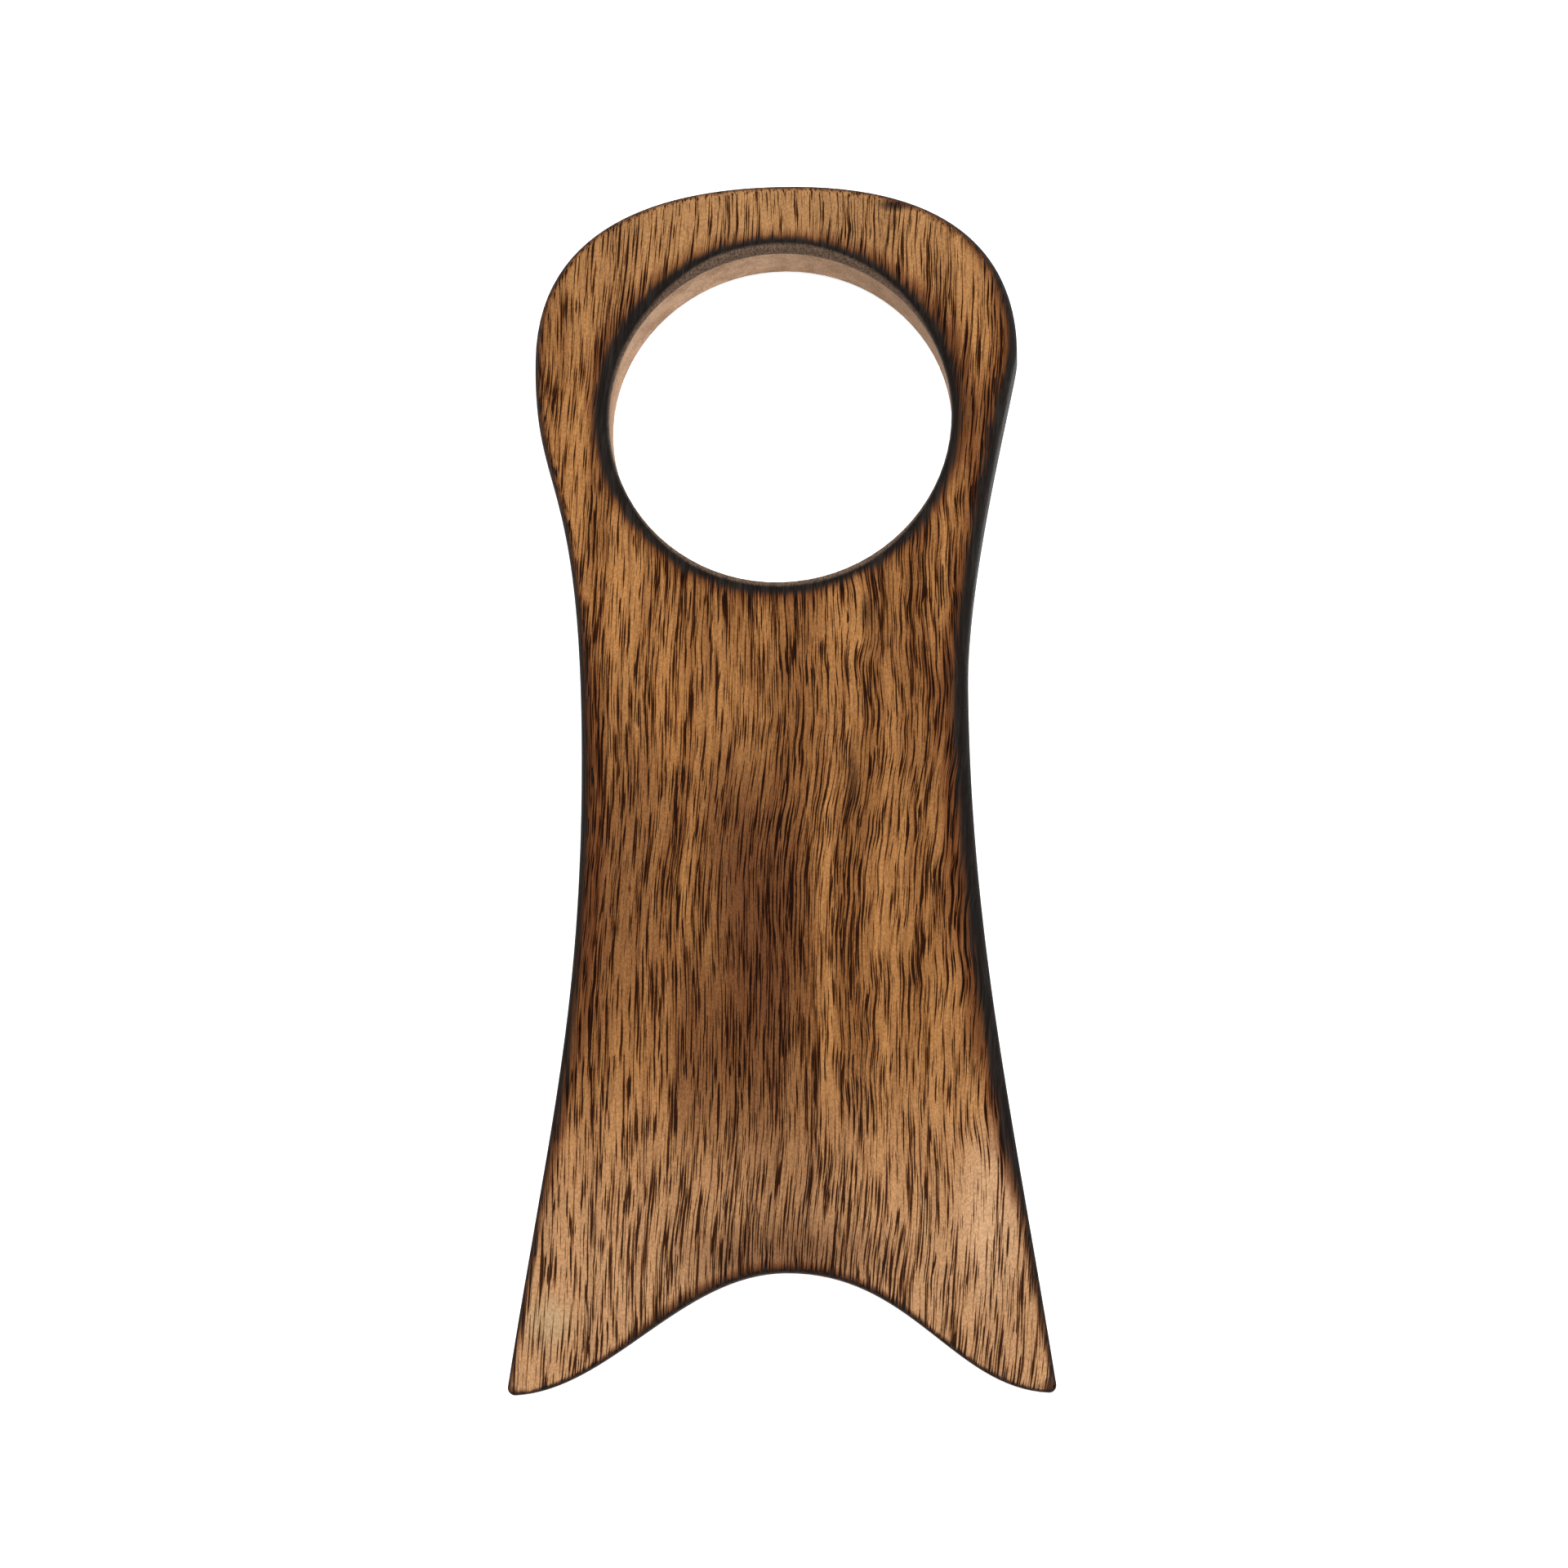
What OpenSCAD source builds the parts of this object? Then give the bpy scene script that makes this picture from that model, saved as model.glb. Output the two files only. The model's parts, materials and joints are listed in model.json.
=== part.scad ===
// A door wedge sawn from one hardwood board: a thick head with a round hole, a waisted body
// and a thin fishtail foot. Three rubber grip strips are glued into grooves in its underside.
// It lies on its strips with +Z up and +Y towards the head. The origin is under its middle.

/* [Board] */
// Length from the end of the head to the tips of the foot
length = 211.5; // [205:0.5:220]
// Thickness of the wood at the end of the head
head_t = 11; // [9:0.5:16]
// Thickness of the wood at the tips of the foot
tip_t = 2; // [1.5:0.5:4]

/* [Hole] */
// Diameter of the hole that goes over a door knob
hole_d = 60; // [54:1:62]
// Distance of the hole's centre from the end of the head
hole_from_head = 42.5; // [40:0.5:44]

/* [Head] */
// Greatest half width of the head, left and right
bulge_w = [43.2, 41.6]; // [40:0.1:45]
// Distance of that widest place from the end of the head, left and right
bulge_from_head = [31.5, 31]; // [30:0.5:34]
// How far the end of the head runs on before it turns down, left and right
crown_reach = [12, 33]; // [8:0.5:34]
// How far the shoulder rises straight from the widest place, left and right
shoulder_reach = [30, 15]; // [14:0.5:30]

/* [Waist] */
// Smallest half width of the waist, left and right
waist_w = [34.3, 32.3]; // [30:0.1:38]
// Distance of that narrowest place from the end of the head, left and right
waist_from_head = [108.5, 90.5]; // [86:0.5:112]
// How far the cheek drops straight from the widest place, left and right
cheek_reach = [26, 3.5]; // [3:0.5:28]
// How far the neck rises straight from the narrowest place, left and right
neck_reach = [58, 21]; // [18:0.5:60]

/* [Foot] */
// Width over the two tips
foot_w = 91; // [86:0.5:100]
// Lean of the flanks where they reach the tips, in degrees
flank_lean = 8.2; // [6:0.1:11]
// How far the flank keeps its direction at each of its ends, left and right
flank_reach = [41, 44.5]; // [30:0.5:50]
// Radius of the corner at each tip
tip_r = 1.2; // [0.8:0.1:2]

/* [Arch] */
// Height of the arch between the tips
arch_h = 20; // [16:0.2:24]
// Sideways place of the arch's crown
arch_x = 0.8; // [-1:0.1:1]
// Rise of the arch where it leaves the tips, in degrees
arch_rise = 3; // [0:1:10]
// How far the arch runs on from each tip
toe_reach = 16; // [10:0.5:18]
// How far the crown of the arch runs on, left and right
arch_reach = [17.5, 21]; // [14:0.5:24]

/* [Grip strips] */
// Length of each strip, across the wedge
strip_l = 50; // [40:1:54]
// Width of each strip, along the wedge
strip_w = 12; // [8:1:14]
// Thickness of the rubber
strip_t = 2; // [1.8:0.1:2.6]
// Depth of the groove that each strip is glued into
groove_depth = 1.2; // [1:0.1:1.5]
// Gap left for glue all round a strip
glue_gap = 0.1; // [0.05:0.05:0.3]
// Distance of the first strip from the tips, and from each strip to the next
strip_pitch = 41; // [38:0.5:41]

/* [Hidden] */
// Steps in one curve of the outline, and in the round corner of a tip
curve_steps = 32;
corner_steps = 8;
// How far a cutting shape runs past the wood
over = 2;
// The underside of the wood stands this far above the floor
sole_z = strip_t - groove_depth;
wood_colour = [0.58, 0.41, 0.25];
rubber_colour = [0.10, 0.10, 0.10];

// Height of the sloping top above the floor, at any distance y along the wedge
function ramp_z(y) = sole_z + tip_t + (head_t - tip_t) * (y / length + 0.5);

// A cubic curve from a to d that starts towards b and arrives from c, without its last point
function curve(a, b, c, d) = [
    for (i = [0 : curve_steps - 1]) let (t = i / curve_steps, u = 1 - t)
        pow(u, 3) * a + 3 * u * u * t * b + 3 * u * t * t * c + pow(t, 3) * d
];

// The arch's crown, where the two sides of the outline meet
crown = [arch_x, arch_h - length / 2];

// One side of the outline, from the end of the head to the last point before the arch's crown.
// k is 0 on the left and 1 on the right, and s points outwards.
function side(k) = let (
    s = 2 * k - 1,
    top = [0, length / 2],
    bulge = [s * bulge_w[k], length / 2 - bulge_from_head[k]],
    waist = [s * waist_w[k], length / 2 - waist_from_head[k]],
    corner = [s * (foot_w / 2 - tip_r), tip_r - length / 2],
    flank_end = corner + tip_r * [s * cos(flank_lean), sin(flank_lean)],
    arch_start = corner - tip_r * [s * sin(arch_rise), cos(arch_rise)],
    sweep = 90 + flank_lean + arch_rise
) concat(
    curve(top, top + [s * crown_reach[k], 0], bulge + [0, shoulder_reach[k]], bulge),
    curve(bulge, bulge - [0, cheek_reach[k]], waist + [0, neck_reach[k]], waist),
    curve(waist, waist - [0, flank_reach[k]],
          flank_end + flank_reach[k] * [-s * sin(flank_lean), cos(flank_lean)], flank_end),
    [for (i = [0 : corner_steps - 1]) let (a = flank_lean - sweep * i / corner_steps)
        corner + tip_r * [s * cos(a), sin(a)]],
    curve(arch_start, arch_start + toe_reach * [-s * cos(arch_rise), sin(arch_rise)],
          crown + [s * arch_reach[k], 0], crown)
);

// The whole outline: down the right side, over the arch and back up the left side
function outline() = let (left = side(0))
    concat(side(1), [crown], [for (i = [len(left) - 1 : -1 : 1]) left[i]]);

// Distance of a strip's middle along the wedge, counted from the foot
function strip_y(i) = (i + 1) * strip_pitch - length / 2;

// The round-ended plan of a strip, or of its groove, which is wider by the glue gap
module strip_plan(gap) {
    end_r = strip_w / 2 + gap;
    end_x = (strip_l - strip_w) / 2;
    square([2 * end_x, 2 * end_r], center = true);
    for (s = [-1, 1]) translate([s * end_x, 0]) circle(r = end_r, $fn = 64);
}

// The space below the sloping top, wider and longer than the board
module taper() {
    far = length / 2 + over;
    rotate([90, 0, 90]) translate([0, 0, -foot_w]) linear_extrude(2 * foot_w)
        polygon([[-far, -over], [far, -over], [far, ramp_z(far)], [-far, ramp_z(-far)]]);
}

// The wood: the outline sawn through the board, planed to a wedge, bored and grooved
module wedge_body() {
    color(wood_colour)
    difference() {
        intersection() {
            translate([0, 0, sole_z]) linear_extrude(head_t + over) polygon(outline());
            taper();
        }
        translate([0, length / 2 - hole_from_head, -over])
            cylinder(d = hole_d, h = head_t + 3 * over, $fn = 128);
        for (i = [0 : 2]) translate([0, strip_y(i), sole_z - over])
            linear_extrude(groove_depth + over) strip_plan(glue_gap);
    }
}

// One rubber strip, glued to the roof of its groove and standing a little below the wood
module grip_strip(i) {
    color(rubber_colour)
    translate([0, strip_y(i), 0]) linear_extrude(strip_t) strip_plan(0);
}

module grip_strip_foot() { grip_strip(0); }
module grip_strip_waist() { grip_strip(1); }
module grip_strip_neck() { grip_strip(2); }

wedge_body();
grip_strip_foot();
grip_strip_waist();
grip_strip_neck();
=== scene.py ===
"""The looks of a scorched hardwood door wedge: one board with rubber grip strips in its sole."""

import json
import math

import bmesh
import bpy
import numpy as np
from mathutils import Euler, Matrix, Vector


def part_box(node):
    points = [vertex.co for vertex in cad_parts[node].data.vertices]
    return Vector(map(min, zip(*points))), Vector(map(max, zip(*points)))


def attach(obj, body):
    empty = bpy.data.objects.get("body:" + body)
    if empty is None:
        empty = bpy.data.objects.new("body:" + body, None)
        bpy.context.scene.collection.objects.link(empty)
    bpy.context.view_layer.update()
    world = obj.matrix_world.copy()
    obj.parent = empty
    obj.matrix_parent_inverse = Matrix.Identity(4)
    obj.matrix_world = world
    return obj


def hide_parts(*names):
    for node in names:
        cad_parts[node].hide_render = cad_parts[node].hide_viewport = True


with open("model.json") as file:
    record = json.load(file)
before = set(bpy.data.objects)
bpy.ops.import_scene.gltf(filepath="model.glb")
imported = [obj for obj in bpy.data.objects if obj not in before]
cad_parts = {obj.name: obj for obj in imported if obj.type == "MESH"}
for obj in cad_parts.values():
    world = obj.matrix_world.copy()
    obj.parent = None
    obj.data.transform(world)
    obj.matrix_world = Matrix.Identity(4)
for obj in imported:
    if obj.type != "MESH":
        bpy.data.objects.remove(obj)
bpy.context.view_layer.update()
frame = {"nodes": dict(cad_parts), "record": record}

MM = 0.001


# ---------------------------------------------------------------------------------------------
# The wedge itself: one piece of open-pored hardwood, band-sawn to its outline, planed to a
# taper, bored with a hole saw, rounded over with sandpaper, grooved for the strips and scorched.

STRIPS = ("grip_strip_foot", "grip_strip_waist", "grip_strip_neck")

wood_low, wood_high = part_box("wedge_body")
foot_y, head_y = wood_low.y, wood_high.y
length = head_y - foot_y
mounts = {mount["name"]: mount for mount in frame["record"]["mounts"]}
bore_x, bore_y = mounts["hang_hole"]["pos_m"][:2]
bore_r = mounts["hang_hole"]["dims"]["r_mm"] * MM
ramp_at, ramp_up = Vector(mounts["ramp"]["pos_m"]), Vector(mounts["ramp"]["axis"])

ROUND_HEAD = 2.0 * MM       # rounding of the top's outer edge at the head
ROUND_TIPS = 0.5 * MM       # the same at the thin tips of the foot
ROUND_BORE = 1.6 * MM       # round-over of the hole's upper rim
ROUND_SOLE = 0.7 * MM       # the lower edges are only eased
GRID = 2.5 * MM             # spacing of the cuts that give the faces their inner points
SOLE_BAND = 0.5 * MM        # points this close above the lowest wood belong to the underside


def ramp_z(y):
    """Height of the sloping top, at a distance along the wedge."""
    return ramp_at.z - (y - ramp_at.y) * ramp_up.y / ramp_up.z


def copy_of_node(name):
    """A bmesh of a CAD node, with its loose triangles joined and its flat faces made whole."""
    bm = bmesh.new()
    bm.from_mesh(frame["nodes"][name].data)
    bmesh.ops.remove_doubles(bm, verts=bm.verts, dist=0.005 * MM)
    bmesh.ops.dissolve_limit(bm, angle_limit=math.radians(0.05), verts=bm.verts, edges=bm.edges)
    return bm


def beside(point, box):
    """Whether a point lies inside a box in plan, or less than half a millimetre outside it."""
    return all(box[0][i] - 0.5 * MM < point[i] < box[1][i] + 0.5 * MM for i in (0, 1))


def edge_kind(edge):
    """Which arris of the sawn blank an edge belongs to: rim, bore, sole or none."""
    normals = [face.normal for face in edge.link_faces]
    upright = [abs(normal.z) < 0.2 for normal in normals]
    if len(normals) != 2 or upright[0] == upright[1]:
        return None
    middle = (edge.verts[0].co + edge.verts[1].co) / 2
    from_bore = math.hypot(middle.x - bore_x, middle.y - bore_y)
    on_bore = from_bore < bore_r + 0.3 * MM
    if normals[upright.index(False)].z > 0:
        return "bore" if on_bore else "rim"
    if middle.z > wood_low.z + 0.1 * MM or any(beside(middle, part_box(name)) for name in STRIPS):
        return None
    return "sole"


def edge_round(edge):
    """How far an edge of the sawn blank is rounded over."""
    kind = edge_kind(edge)
    if kind == "rim":
        along = min(1.0, max(0.0, (edge.verts[0].co.y - foot_y) / (0.45 * length)))
        return ROUND_TIPS + (ROUND_HEAD - ROUND_TIPS) * along
    return {"bore": ROUND_BORE, "sole": ROUND_SOLE, None: 0.0}[kind]


def dice(bm, axis, step):
    """Cuts a mesh across one axis at even steps, which adds points and moves none."""
    low = min(vert.co[axis] for vert in bm.verts)
    high = max(vert.co[axis] for vert in bm.verts)
    cut = Vector((0, 0, 0))
    cut[axis] = 1
    for i in range(1, int((high - low) / step) + 1):
        bmesh.ops.bisect_plane(bm, geom=bm.verts[:] + bm.edges[:] + bm.faces[:],
                               dist=0.01 * MM, plane_co=cut * (low + i * step), plane_no=cut)


def evaluated_mesh(piece, name):
    """A new mesh holding a piece with its modifiers applied."""
    bpy.context.view_layer.update()
    depsgraph = bpy.context.evaluated_depsgraph_get()
    mesh = bpy.data.meshes.new_from_object(piece.evaluated_get(depsgraph))
    mesh.name = name
    return mesh


def new_piece(name, mesh):
    """A new object in the scene, at the origin, holding a mesh."""
    piece = bpy.data.objects.new(name, mesh)
    bpy.context.scene.collection.objects.link(piece)
    return piece


bm = copy_of_node("wedge_body")
rim_edges = [edge for edge in bm.edges if edge_kind(edge) == "rim"]
rim_starts = np.array([edge.verts[0].co[:2] for edge in rim_edges])
rim_ends = np.array([edge.verts[1].co[:2] for edge in rim_edges])
rounding = bm.edges.layers.float.new("bevel_weight_edge")
for edge in bm.edges:
    edge[rounding] = edge_round(edge) / ROUND_HEAD
blank = bpy.data.meshes.new("wedge_blank")
bm.to_mesh(blank)
bm.free()
wedge = new_piece("wedge", blank)
sanding = wedge.modifiers.new("sanding", "BEVEL")
sanding.limit_method = "WEIGHT"
sanding.width = ROUND_HEAD
sanding.segments = 6
sanding.use_clamp_overlap = False
rounded = evaluated_mesh(wedge, "wedge_rounded")
wedge.modifiers.clear()

bm = bmesh.new()
bm.from_mesh(rounded)
for axis in (0, 1):
    dice(bm, axis, GRID)
for face in bm.faces:
    face.smooth = True
bm.to_mesh(rounded)
bm.free()
wedge.data = rounded
rounded.set_sharp_from_angle(angle=math.radians(40))

# How far the scorching reaches in from the edge, at stations along it: (place, black, brown).
# Places are distances towards the head on the flanks, and to the right on the arch.
SCORCH_LEFT = ((-105, 0.1, 1.5), (-72, 0.2, 2.5), (-60, 0.6, 5.0), (-46, 0.9, 6.8), (-5, 0.9, 6.5),
               (12, 0.7, 5.0), (35, 0.5, 2.5), (60, 0.2, 2.2), (90, 0.2, 2.5), (105, 0.3, 2.0))
SCORCH_RIGHT = ((-105, 0.2, 1.5), (-76, 0.4, 3.0), (-65, 1.4, 6.5), (-41, 2.0, 9.5), (10, 2.1, 9.5),
                (40, 1.5, 5.5), (70, 1.3, 5.5), (90, 0.9, 4.0), (100, 0.4, 2.5), (105, 0.3, 2.0))
SCORCH_ARCH = ((-45, 0.0, 0.6), (-30, 0.0, 1.2), (-16, 0.1, 3.6), (0, 0.1, 3.0), (12, 0.1, 2.4),
               (25, 0.0, 1.2), (45, 0.0, 0.6))
# Round the hole, by the direction from its centre in degrees, anticlockwise from the right.
SCORCH_BORE = ((-180, 2.3, 6.5), (-135, 1.9, 6.0), (-90, 2.3, 7.0), (-45, 1.9, 4.8), (-20, 1.4, 5.5),
               (0, 1.2, 9.5), (20, 1.3, 9.0), (45, 1.5, 7.0), (90, 2.3, 6.0), (135, 2.3, 8.0),
               (180, 2.3, 6.5))
# How far the hole's round-over is rubbed back to grey-brown end grain, by the same directions;
# on its left side, near ±180°, the same grey-brown is a painted highlight for the round-over's sheen.
RUBBED_AND_SHEEN_BORE = ((-180, 0.25), (-150, 0.3), (-120, 1.1), (-60, 1.3), (-25, 0.3), (20, 0.0), (55, 0.9),
               (80, 1.4), (110, 1.4), (140, 0.5), (180, 0.25))
TIP_LEAN = 0.15             # the flanks close in by this much per unit of height above the tips
ARCH_INSET = 1.5 * MM       # the arch starts this far inside the flanks
ARCH_TOP = 21 * MM          # and ends this high above the tips
DOWN_WALL = 0.1             # down the side walls the scorching fades at this share of its pace
SOLE_FADE = 0.4             # and reaches only this share as far on the underside


def at_stations(stations, places):
    """Each column of a row of stations, in its own units, at the given places along it."""
    table = np.array(stations, float)
    return [np.interp(places, table[:, 0], table[:, column]) for column in range(1, table.shape[1])]


def nearest_on_rim(points, starts, ends):
    """For each point in plan, its distance to the sawn edge and the place on it that is nearest."""
    along = ends - starts
    offset = points[:, None, :] - starts[None]
    share = np.clip((offset * along).sum(2) / (along ** 2).sum(1), 0, 1)
    gap = np.linalg.norm(offset - share[..., None] * along, axis=2)
    best = gap.argmin(1)
    rows = np.arange(len(points))
    return gap[rows, best], starts[best] + share[rows, best, None] * along[best]


def paint_scorch(mesh):
    """Writes how deep each point lies in the black border, in the brown one, and its share of rubbed
    end grain and painted highlight.
    """
    places = np.array([vert.co for vert in mesh.vertices], float)
    gap, nearest = nearest_on_rim(places[:, :2], rim_starts, rim_ends)
    flank = wood_high.x - ARCH_INSET - TIP_LEAN * (nearest[:, 1] - foot_y)
    on_arch = (np.abs(nearest[:, 0]) < flank) & (nearest[:, 1] < foot_y + ARCH_TOP)
    black, brown = np.empty(len(places)), np.empty(len(places))
    for chosen, stations, place in (
            (~on_arch & (nearest[:, 0] < 0), SCORCH_LEFT, nearest[:, 1]),
            (~on_arch & (nearest[:, 0] >= 0), SCORCH_RIGHT, nearest[:, 1]),
            (on_arch, SCORCH_ARCH, nearest[:, 0])):
        black[chosen], brown[chosen] = at_stations(stations, place[chosen] / MM)
    from_bore = places[:, :2] - (bore_x, bore_y)
    bearing = np.degrees(np.arctan2(from_bore[:, 1], from_bore[:, 0]))
    bore_black, bore_brown = at_stations(SCORCH_BORE, bearing)
    rubbed_and_sheen_width, = at_stations(RUBBED_AND_SHEEN_BORE, bearing)
    bore_gap = (np.hypot(*from_bore.T) - bore_r) / MM
    below = (ramp_z(places[:, 1]) - places[:, 2]) / MM
    under = places[:, 2] < wood_low.z + SOLE_BAND
    fade = np.where(under, SOLE_FADE, 1.0)
    down = np.where(under, 0.0, DOWN_WALL * below)
    gap = gap / MM + down
    char = np.maximum(black * fade - gap, bore_black * fade - bore_gap - down)
    halo = np.maximum(1 - gap / (brown * fade), 1 - (bore_gap + down) / (bore_brown * fade))
    # the rubbed share also carries the painted highlight on the hole's left round-over
    rubbed = np.where(under, 0.0, rubbed_and_sheen_width - bore_gap)
    for name, values in (("char_depth", char), ("halo", halo), ("rubbed", rubbed)):
        attribute = mesh.attributes.new(name, "FLOAT", "POINT")
        attribute.data.foreach_set("value", values.astype(np.float32))


paint_scorch(rounded)
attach(wedge, "root")
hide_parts("wedge_body")


def place(tree, kind, feeds=(), **settings):
    """Adds a shader node, sets its options, and feeds its inputs from sockets or plain values."""
    node = tree.nodes.new(kind)
    for name, value in settings.items():
        setattr(node, name, value)
    for name, value in dict(feeds).items():
        if isinstance(value, bpy.types.NodeSocket):
            tree.links.new(value, node.inputs[name])
        else:
            node.inputs[name].default_value = value
    return node


def calc(tree, operation, *values):
    """A Math node's result."""
    return place(tree, "ShaderNodeMath", enumerate(values), operation=operation).outputs[0]


def stretch(tree, vector, scale, offset=(0, 0, 0)):
    """A vector scaled and then shifted, each axis by its own amount."""
    return place(tree, "ShaderNodeVectorMath", {0: vector, 1: scale, 2: offset},
                 operation="MULTIPLY_ADD").outputs[0]


def noise(tree, vector, detail=2.0, roughness=0.5):
    """Soft noise around 0.5, with features about one unit of the vector across."""
    return place(tree, "ShaderNodeTexNoise", {"Vector": vector, "Scale": 1.0, "Detail": detail,
                                              "Roughness": roughness}).outputs["Fac"]


def step(tree, value, start, end, low=0.0, high=1.0):
    """Turns a value smoothly from low to high as it goes from start to end."""
    return place(tree, "ShaderNodeMapRange",
                 {"Value": value, "From Min": start, "From Max": end, "To Min": low, "To Max": high},
                 interpolation_type="SMOOTHSTEP").outputs[0]


def blend(tree, share, first, second, how="MIX"):
    """Mixes two colours, or lays the second over the first in another blend mode."""
    return place(tree, "ShaderNodeMix", {0: share, 6: first, 7: second},
                 data_type="RGBA", blend_type=how).outputs[2]


def stain(red, green, blue):
    """A colour picked on a 0 to 255 scale, as the shader wants it."""
    def linear(value):
        value /= 255
        return value / 12.92 if value <= 0.04045 else ((value + 0.055) / 1.055) ** 2.4
    return (linear(red), linear(green), linear(blue), 1.0)


def new_group(name, feeds, results):
    """An empty shader node group, its input node and its output node."""
    group = bpy.data.node_groups.new(name, "ShaderNodeTree")
    for way, sockets in (("INPUT", feeds), ("OUTPUT", results)):
        for label, kind in sockets:
            group.interface.new_socket(name=label, in_out=way, socket_type=kind)
    return group, group.nodes.new("NodeGroupInput"), group.nodes.new("NodeGroupOutput")


FLOAT, VECTOR = "NodeSocketFloat", "NodeSocketVector"


def patch(tree, position, centre, reach):
    """A soft oval, 1 near its centre and 0 past its reach, in millimetres in plan."""
    scale = (1 / reach[0], 1 / reach[1], 0)
    offset = (-centre[0] / reach[0], -centre[1] / reach[1], 0)
    ball = place(tree, "ShaderNodeTexGradient", {0: stretch(tree, position, scale, offset)},
                 gradient_type="SPHERICAL")
    return step(tree, ball.outputs[1], 0.0, 0.8)


def vessels(tree, fibre, scale, offset, largest, density):
    """Single vessels cut lengthwise, pointed at both ends: 1 in the middle of each, 0 at its edge."""
    cells = place(tree, "ShaderNodeTexVoronoi",
                  {"Vector": stretch(tree, fibre, scale, offset), "Scale": 1.0}, distance="MANHATTAN")
    chance = place(tree, "ShaderNodeSeparateColor", {0: cells.outputs["Color"]}).outputs[0]
    size = calc(tree, "MULTIPLY", step(tree, chance, 0.0, 0.8, 0.3 * largest, largest), density)
    share = calc(tree, "DIVIDE", cells.outputs["Distance"], size)
    return calc(tree, "MAXIMUM", calc(tree, "SUBTRACT", 1.0, share), 0.0)


def vessel_lines(tree, fibre, scale, offset, density):
    """Vessels that run into one another as wavering, broken lines: 1 in the middle, 0 outside."""
    value = noise(tree, stretch(tree, fibre, scale, offset), 1.0)
    return step(tree, calc(tree, "MULTIPLY", value, density), 0.58, 0.69)


FIBRE_LEAN = -0.045         # added to x per unit along the board, so that the fibres lean right
FIBRE_CLIMB = -0.028        # added to z in the same way, so that they climb towards the head
WANDER = 6.0                # the fibres' slow sideways wander stays within this, in millimetres
RIBBON_SPREAD = (0.36, 0.62)    # the ribbon noise goes from its dark bands to its pale ones here


def grain_group():
    """Board grain along Y: leaning, wavy fibres with ribbons, dark open pores and silky fleck."""
    tree, given, out = new_group(
        "open_pored_grain",
        (("Position", VECTOR), ("Density", FLOAT)),
        (("Pores", FLOAT), ("Ribbon", FLOAT), ("Streak", FLOAT), ("Fleck", FLOAT)))
    here = given.outputs["Position"]
    x, y, z = place(tree, "ShaderNodeSeparateXYZ", {0: here}).outputs
    wander = noise(tree, stretch(tree, here, (0.02, 0.022, 0.02)), 1.0)
    ripple = noise(tree, stretch(tree, here, (0.13, 0.10, 0.13), (7, 3, 1)), 1.0)
    # the fibres ripple more on the right, and less near the foot
    waviness = calc(tree, "MULTIPLY",
                    step(tree, x, -10, 15, 0.5, 1.4), step(tree, y, -45, -75, 1.0, 0.4))
    ripple = calc(tree, "MULTIPLY", ripple, waviness)
    knot = calc(tree, "MULTIPLY", patch(tree, here, (15, 27), (6, 11)), -1.0)
    bend = calc(tree, "ADD", calc(tree, "MULTIPLY_ADD", wander, WANDER, ripple), knot)
    across = calc(tree, "ADD", calc(tree, "MULTIPLY_ADD", y, FIBRE_LEAN, x), bend)
    deep = calc(tree, "MULTIPLY_ADD", y, FIBRE_CLIMB, z)
    fibre = place(tree, "ShaderNodeCombineXYZ", {0: across, 1: y, 2: deep}).outputs[0]
    ribbon = noise(tree, stretch(tree, fibre, (0.20, 0.012, 0.20), (3, 0, 5)), 3.0, 0.6)
    streak = noise(tree, stretch(tree, fibre, (1.2, 0.045, 1.2), (11, 4, 2)), 4.0, 0.75)
    crowd = step(tree, ribbon, *RIBBON_SPREAD, 1.01, 0.92)
    crowd = calc(tree, "MULTIPLY", given.outputs["Density"], crowd)
    pores = calc(tree, "MAXIMUM",
                 vessel_lines(tree, fibre, (2.95, 0.078, 2.95), (2.2, 7.1, 4.4), crowd),
                 vessel_lines(tree, fibre, (3.90, 0.120, 3.90), (8.1, 1.7, 6.3), crowd))
    for scale, offset, largest in (((1.95, 0.045, 1.95), (0.0, 0.0, 0.0), 0.70),
                                   ((2.60, 0.090, 2.60), (4.3, 2.1, 7.7), 0.76)):
        pores = calc(tree, "MAXIMUM", vessels(tree, fibre, scale, offset, largest, crowd), pores)
    fleck = noise(tree, stretch(tree, here, (3.2, 1.9, 3.2)), 3.0, 0.8)
    for label, value in (("Pores", pores), ("Ribbon", ribbon), ("Streak", streak), ("Fleck", fleck)):
        tree.links.new(value, out.inputs[label])
    return tree


open_pored_grain = grain_group()


def start_wood(name):
    """A new material, its shader, the position in millimetres, and the grain read there."""
    material = bpy.data.materials.new(name)
    material.use_nodes = True
    tree = material.node_tree
    spot = place(tree, "ShaderNodeTexCoord").outputs["Object"]
    position = stretch(tree, spot, (1000, 1000, 1000))
    grain = place(tree, "ShaderNodeGroup", {}, node_tree=open_pored_grain)
    tree.links.new(position, grain.inputs["Position"])
    y = place(tree, "ShaderNodeSeparateXYZ", {0: position}).outputs[1]
    density = calc(tree, "MULTIPLY",
                   step(tree, y, 40, 100, 1.0, 0.96), step(tree, y, -50, -95, 1.0, 1.02))
    for centre, reach in (((35, -75), (9, 24)), ((-39, -94), (8, 9))):
        fewer = calc(tree, "MULTIPLY_ADD", patch(tree, position, centre, reach), -0.12, 1.0)
        density = calc(tree, "MULTIPLY", density, fewer)
    tree.links.new(density, grain.inputs["Density"])
    return material, tree.nodes["Principled BSDF"], position, grain.outputs


FLECK_RELIEF = 0.05         # how far the fine fleck stands out, in millimetres
PORE_RELIEF = 0.12          # depth of the open pores on the sanded outside
BORE_PORE_RELIEF = 0.1      # and on the sawn wall of the hole


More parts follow.
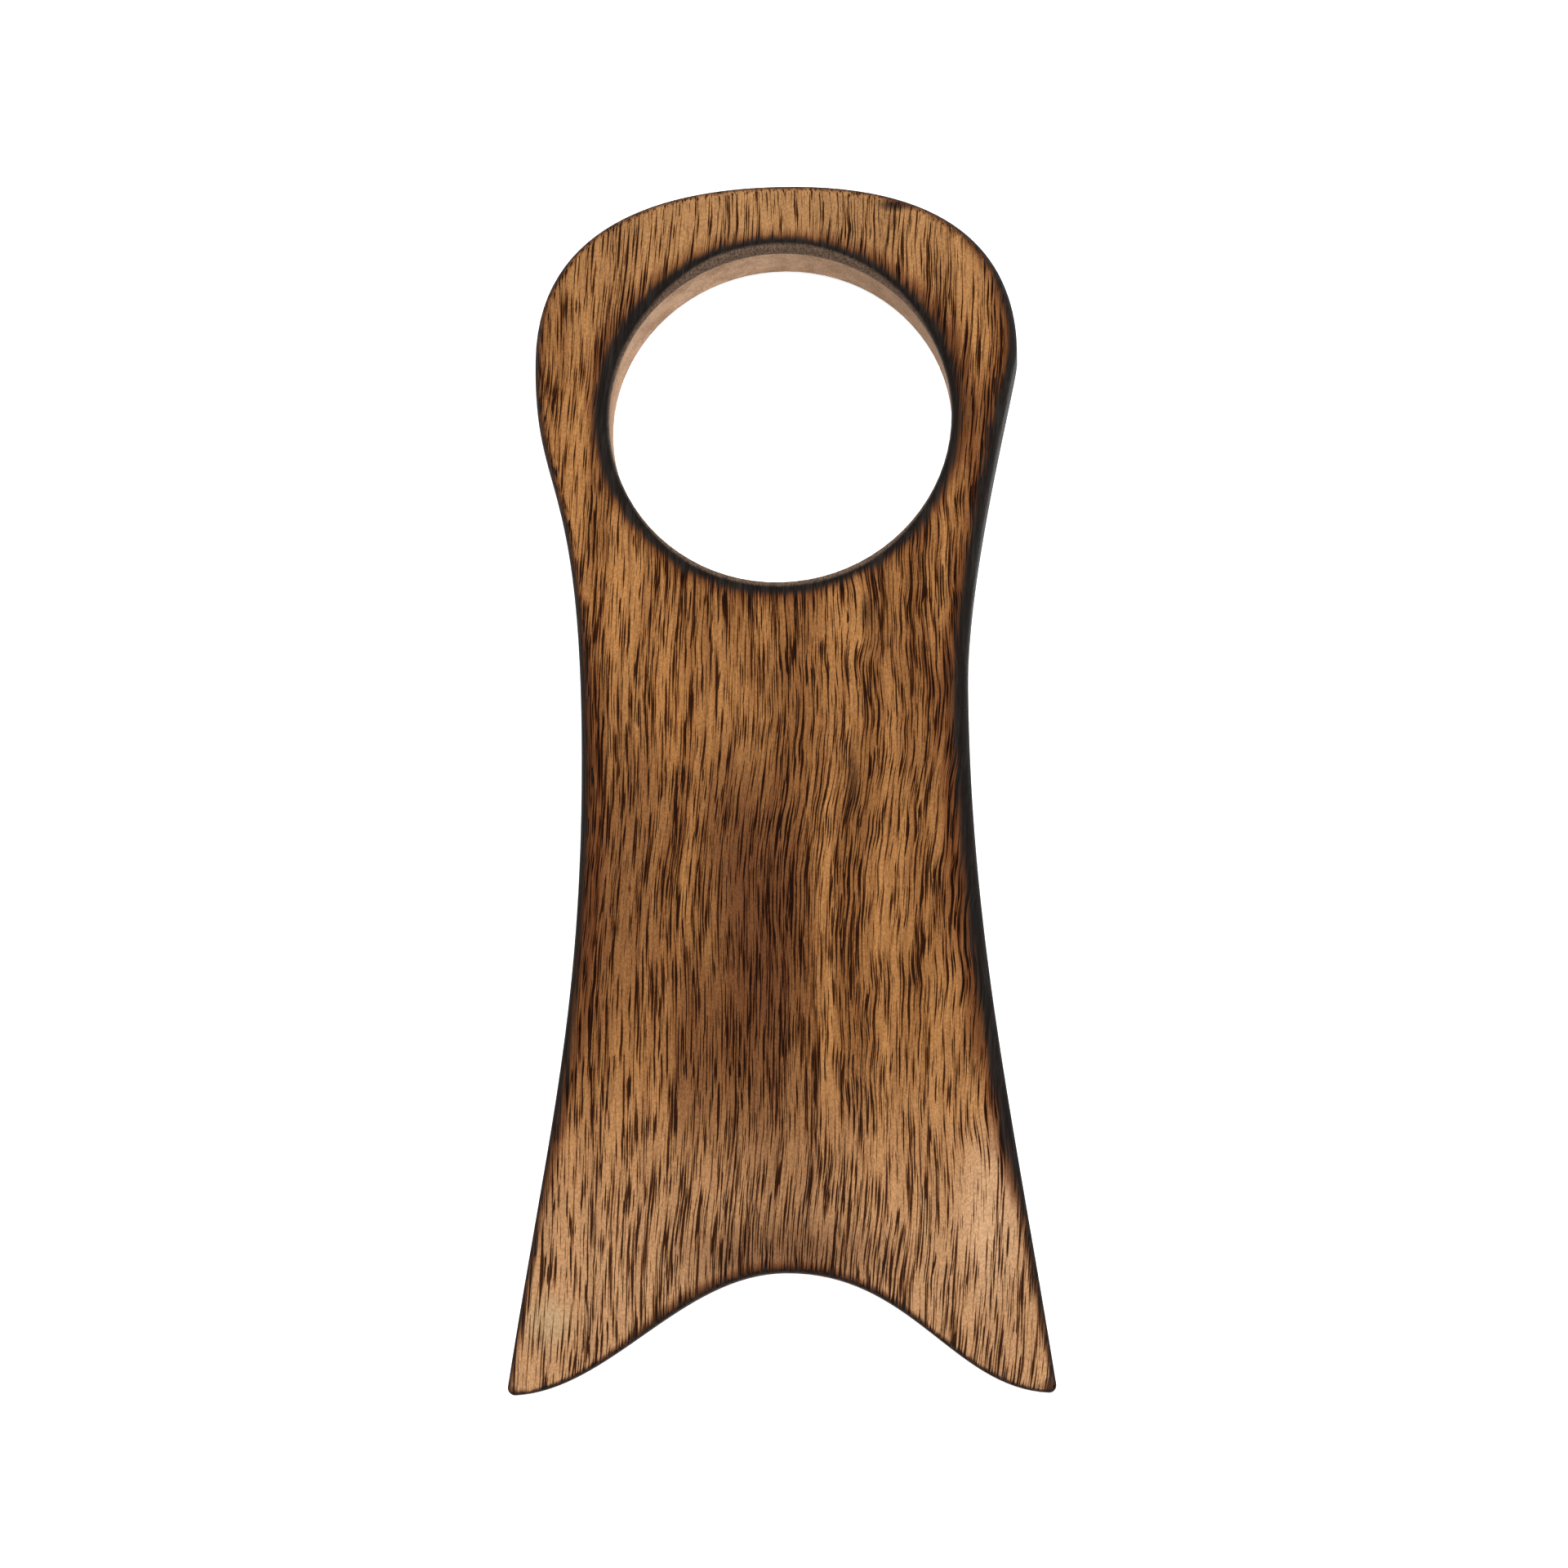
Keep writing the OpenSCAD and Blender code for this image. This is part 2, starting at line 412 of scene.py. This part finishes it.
def end_wood(tree, shader, colour, rough, grain, relief):
    """Joins up a wood's colour and roughness, with its pores standing open as small grooves."""
    tree.links.new(colour, shader.inputs["Base Color"])
    tree.links.new(rough, shader.inputs["Roughness"])
    grit = calc(tree, "MULTIPLY", grain["Fleck"], FLECK_RELIEF)
    height = calc(tree, "MULTIPLY_ADD", grain["Pores"], -relief, grit)
    bump = place(tree, "ShaderNodeBump", {"Height": height, "Strength": 1.0, "Distance": MM})
    tree.links.new(bump.outputs[0], shader.inputs["Normal"])


def shade(tree, colour, share):
    """A colour darkened or lightened by a plain factor."""
    grey = place(tree, "ShaderNodeCombineColor", {0: share, 1: share, 2: share}).outputs[0]
    return blend(tree, 1.0, colour, grey, "MULTIPLY")


def scorched_wood():
    """The board's outside: golden-brown grain, browned and blackened along its edges."""
    material, shader, position, grain = start_wood("scorched_wood")
    tree = material.node_tree
    streak, pores = grain["Streak"], grain["Pores"]
    wood = blend(tree, step(tree, grain["Ribbon"], *RIBBON_SPREAD),
                 stain(134, 89, 49), stain(169, 119, 70))
    wood = blend(tree, step(tree, streak, 0.35, 0.72, 0.0, 0.5), wood, stain(98, 57, 30))
    # the foot is paler, and the rest has paler and toasted places, two knots and a nick
    y, z = place(tree, "ShaderNodeSeparateXYZ", {0: position}).outputs[1:]
    wood = blend(tree, step(tree, y, -43, -92, 0.0, 0.7), wood, stain(184, 142, 104))
    above = step(tree, z, 1.0, 1.8)
    for centre, reach, share, colour in (
            ((0, 114), (70, 62), 0.5, (168, 129, 88)),
            ((-31, 30), (6, 13), 0.4, (176, 122, 70)),
            ((-19, 12), (7, 18), 0.4, (172, 118, 66)),
            ((-3, -30), (12, 44), 0.8, (82, 45, 26)),
            ((-9, -12), (7, 26), 0.6, (84, 46, 26)),
            ((-13, -47), (10, 26), 0.65, (88, 50, 28)),
            ((-27, -18), (12, 44), 0.5, (82, 45, 26)),
            ((1, -66), (11, 32), 0.3, (88, 52, 32)),
            ((0, -83), (26, 9), 0.6, (92, 56, 33)),
            ((35, -76), (8, 20), 0.6, (200, 160, 122)),
            ((-39, -94), (6, 6), 0.7, (176, 148, 112)),
            ((12.5, -3), (1.6, 9), 0.6, (50, 30, 20)),
            ((15, 27), (1.5, 5), 0.6, (52, 32, 22)),
            ((20.6, 101.3), (4.5, 1.8), 0.95, (40, 30, 26))):
        place_share = calc(tree, "MULTIPLY", patch(tree, position, centre, reach), share)
        place_share = calc(tree, "MULTIPLY", place_share, above)
        wood = blend(tree, place_share, wood, stain(*colour))
    wood = shade(tree, wood, step(tree, grain["Fleck"], 0.3, 0.7, 0.70, 1.28))

    char_depth, halo, rubbed = (
        place(tree, "ShaderNodeAttribute", {}, attribute_name=name).outputs["Fac"]
        for name in ("char_depth", "halo", "rubbed"))
    bleed = calc(tree, "MULTIPLY_ADD", streak, 2.0, calc(tree, "MULTIPLY_ADD", pores, 0.8, -1.2))
    brown = step(tree, calc(tree, "MULTIPLY_ADD", bleed, 0.35, halo), 0.0, 1.0)
    black = step(tree, calc(tree, "ADD", char_depth, bleed), -1.2, 0.3)
    wood = blend(tree, step(tree, brown, 0.0, 0.6, 0.0, 0.75), wood, stain(94, 50, 25))
    wood = blend(tree, step(tree, brown, 0.4, 1.0, 0.0, 0.85), wood, stain(52, 30, 18))
    wood = blend(tree, step(tree, pores, 0.04, 0.32), wood, (0.50, 0.38, 0.30, 1.0), "MULTIPLY")
    wood = blend(tree, step(tree, pores, 0.22, 0.52), wood, (0.16, 0.13, 0.13, 1.0), "MULTIPLY")
    soot = blend(tree, step(tree, streak, 0.45, 0.7), stain(25, 21, 19), stain(42, 37, 34))
    wood = blend(tree, black, wood, soot)
    # rubbed end grain on the hole's round-over, and on its left side a painted highlight of the same
    # grey-brown
    worn_and_sheen = blend(tree, step(tree, grain["Fleck"], 0.4, 0.6), stain(76, 62, 52), stain(122, 99, 82))
    wood = blend(tree, step(tree, rubbed, -0.2, 0.5, 0.0, 0.85), wood, worn_and_sheen)
    end_wood(tree, shader, wood, step(tree, black, 0.0, 1.0, 0.62, 0.48), grain, PORE_RELIEF)
    shader.inputs["Specular IOR Level"].default_value = 0.03
    return material


def bored_wood():
    """The wall of the hole: raw wood that the hole saw left pale, pinkish and speckled."""
    material, shader, position, grain = start_wood("bored_wood")
    tree = material.node_tree
    wood = blend(tree, step(tree, grain["Ribbon"], *RIBBON_SPREAD),
                 stain(160, 127, 98), stain(184, 150, 120))
    wood = blend(tree, step(tree, grain["Streak"], 0.4, 0.7, 0.0, 0.4), wood, stain(148, 113, 86))
    wood = blend(tree, step(tree, grain["Pores"], 0.1, 0.5, 0.0, 0.35), wood, stain(100, 74, 56))
    wood = shade(tree, wood, step(tree, grain["Fleck"], 0.3, 0.7, 0.85, 1.12))
    # painted shade: the right-hand half of the wall, which faces away from the light on the right, is
    # darkened brown a little
    x = place(tree, "ShaderNodeSeparateXYZ", {0: position}).outputs[0]
    wood = blend(tree, step(tree, x, -12, 20, 0.0, 0.5), wood, stain(116, 86, 60))
    rough = step(tree, grain["Pores"], 0.0, 1.0, 0.8, 0.9)
    end_wood(tree, shader, wood, rough, grain, BORE_PORE_RELIEF)
    shader.inputs["Specular IOR Level"].default_value = 0.15
    return material


rounded.materials.append(scorched_wood())
rounded.materials.append(bored_wood())
for polygon in rounded.polygons:
    from_bore = math.hypot(polygon.center.x - bore_x, polygon.center.y - bore_y)
    on_wall = abs(polygon.normal.z) < 0.1 and from_bore < bore_r + 0.05 * MM
    polygon.material_index = 1 if on_wall else 0


# ---------------------------------------------------------------------------------------------
# The three grip strips: round-ended bars of black rubber, moulded with ribs that lie across the
# door's push, each glued into its groove with the ribs standing a little below the wood.

RIB_COUNT = 5
RIB_HEIGHT = 0.6 * MM
RIB_SHARE = 0.55            # share of the pitch that is rib, the rest is gap
SOFT_EDGE = 0.12 * MM       # rounding that the mould leaves on every edge


def ribbed_bar(low, high):
    """A bmesh bar as long as a strip, with its underside cut into ribs along X."""
    pitch = (high.y - low.y) / (RIB_COUNT - 1 + RIB_SHARE)
    section = [(high.y, high.z), (low.y, high.z)]
    for i in range(RIB_COUNT):
        near, far = low.y + i * pitch, low.y + (i + RIB_SHARE) * pitch
        section += [(near, low.z), (far, low.z)]
        if i < RIB_COUNT - 1:
            section += [(far, low.z + RIB_HEIGHT), (near + pitch, low.z + RIB_HEIGHT)]
    bm = bmesh.new()
    end = bm.faces.new([bm.verts.new((low.x, y, z)) for y, z in section])
    grown = bmesh.ops.extrude_face_region(bm, geom=[end])["geom"]
    moved = [item for item in grown if isinstance(item, bmesh.types.BMVert)]
    bmesh.ops.translate(bm, verts=moved, vec=(high.x - low.x, 0, 0))
    bmesh.ops.recalc_face_normals(bm, faces=bm.faces)
    return bm


def grip_rubber():
    """Matt black moulded rubber, greyed where the ribs rub on the floor."""
    material = bpy.data.materials.new("grip_rubber")
    material.use_nodes = True
    tree = material.node_tree
    shader = tree.nodes["Principled BSDF"]
    spot = place(tree, "ShaderNodeTexCoord").outputs["Object"]
    position = stretch(tree, spot, (1000, 1000, 1000))
    grit = noise(tree, stretch(tree, position, (4, 4, 4)), 3.0, 0.7)
    scuff = noise(tree, stretch(tree, position, (0.25, 1.2, 0.5), (2, 6, 1)), 3.0, 0.6)
    z = place(tree, "ShaderNodeSeparateXYZ", {0: position}).outputs[2]
    rubbed = calc(tree, "MULTIPLY", step(tree, z, 0.25, 0.0), step(tree, scuff, 0.42, 0.6))
    colour = blend(tree, step(tree, grit, 0.3, 0.7), stain(27, 27, 28), stain(42, 42, 43))
    colour = blend(tree, calc(tree, "MULTIPLY", rubbed, 0.6), colour, stain(92, 90, 87))
    tree.links.new(colour, shader.inputs["Base Color"])
    tree.links.new(step(tree, rubbed, 0.0, 1.0, 0.62, 0.85), shader.inputs["Roughness"])
    bump = place(tree, "ShaderNodeBump", {"Height": grit, "Strength": 0.5, "Distance": 0.1 * MM})
    tree.links.new(bump.outputs[0], shader.inputs["Normal"])
    shader.inputs["Specular IOR Level"].default_value = 0.4
    return material


rubber = grip_rubber()
for name in STRIPS:
    bm = ribbed_bar(*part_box(name))
    mould = bpy.data.meshes.new(name + "_mould")
    bm.to_mesh(mould)
    bm.free()
    strip = new_piece(name.replace("grip_strip", "ribbed_strip"), mould)
    ends = strip.modifiers.new("round_ends", "BOOLEAN")
    ends.operation = "INTERSECT"
    ends.solver = "EXACT"
    ends.object = frame["nodes"][name]
    soften = strip.modifiers.new("soft_edges", "BEVEL")
    soften.limit_method = "ANGLE"
    soften.angle_limit = math.radians(40)
    soften.width = SOFT_EDGE
    soften.segments = 2
    strip.data = evaluated_mesh(strip, strip.name)
    strip.modifiers.clear()
    strip.data.materials.clear()
    strip.data.materials.append(rubber)
    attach(strip, "root")
    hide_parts(name)


# ---------------------------------------------------------------------------------------------
# The studio: a white table that glows a little, so that shadows on it stay faint, a wide soft
# light overhead, and a weaker one from the right.

floor_mesh = bpy.data.meshes.new("floor")
bm = bmesh.new()
bmesh.ops.create_grid(bm, x_segments=1, y_segments=1, size=10)
bmesh.ops.translate(bm, verts=bm.verts, vec=(0, 0, -0.05 * MM))
bm.to_mesh(floor_mesh)
bm.free()
floor = new_piece("floor", floor_mesh)
paper = bpy.data.materials.new("pale_paper")
paper.use_nodes = True
paper_shader = paper.node_tree.nodes["Principled BSDF"]
paper_shader.inputs["Base Color"].default_value = (0.93, 0.93, 0.93, 1)
paper_shader.inputs["Roughness"].default_value = 0.9
paper_shader.inputs["Specular IOR Level"].default_value = 0.0
paper_shader.inputs["Emission Color"].default_value = (1, 1, 1, 1)
paper_shader.inputs["Emission Strength"].default_value = 0.7
# seen from below, the table is clear, so that the sole can be looked at
from_below = place(paper.node_tree, "ShaderNodeNewGeometry").outputs["Backfacing"]
clear = place(paper.node_tree, "ShaderNodeBsdfTransparent").outputs[0]
surface = place(paper.node_tree, "ShaderNodeMixShader",
                {0: from_below, 1: paper_shader.outputs[0], 2: clear})
paper_end = paper.node_tree.nodes["Material Output"]
paper.node_tree.links.new(surface.outputs[0], paper_end.inputs["Surface"])
floor_mesh.materials.append(paper)


def softbox(name, direction, distance, size, power):
    """A square light that hangs in the given direction and faces the wedge."""
    light = bpy.data.lights.new(name, "AREA")
    light.shape = "SQUARE"
    light.size = size
    light.energy = power
    lamp = bpy.data.objects.new(name, light)
    bpy.context.scene.collection.objects.link(lamp)
    towards = Vector(direction).normalized()
    lamp.location = towards * distance
    lamp.rotation_euler = towards.to_track_quat("Z", "Y").to_euler()


softbox("overhead", (0.1, 0.25, 1.0), 1.4, 1.2, 18)
softbox("side", (1.0, -0.1, 0.8), 1.4, 0.8, 3)

world = bpy.data.worlds.new("studio")
bpy.context.scene.world = world
world.use_nodes = True
world.node_tree.nodes["Background"].inputs["Color"].default_value = (1, 1, 1, 1)
world.node_tree.nodes["Background"].inputs["Strength"].default_value = 0.55
bpy.context.scene.view_settings.view_transform = "Standard"

CAMERA_LENS = 88.1          # focal length on a sensor 36 mm wide
CAMERA_DISTANCE = 657 * MM  # from the point aimed at, near the middle of the board
CAMERA_LEAN = (14.53, 3.63, 0.06)   # degrees off straight above: to the foot, to the right, twist

camera_data = bpy.data.cameras.new("camera")
camera_data.lens = CAMERA_LENS
camera_data.sensor_width = 36.0
camera = bpy.data.objects.new("camera", camera_data)
bpy.context.scene.collection.objects.link(camera)
lean = Euler([math.radians(angle) for angle in CAMERA_LEAN])
aim = Vector((0.65 * MM, -2.53 * MM, 6 * MM))
camera.rotation_euler = lean
camera.location = aim + lean.to_matrix() @ Vector((0, 0, CAMERA_DISTANCE))
bpy.context.scene.camera = camera
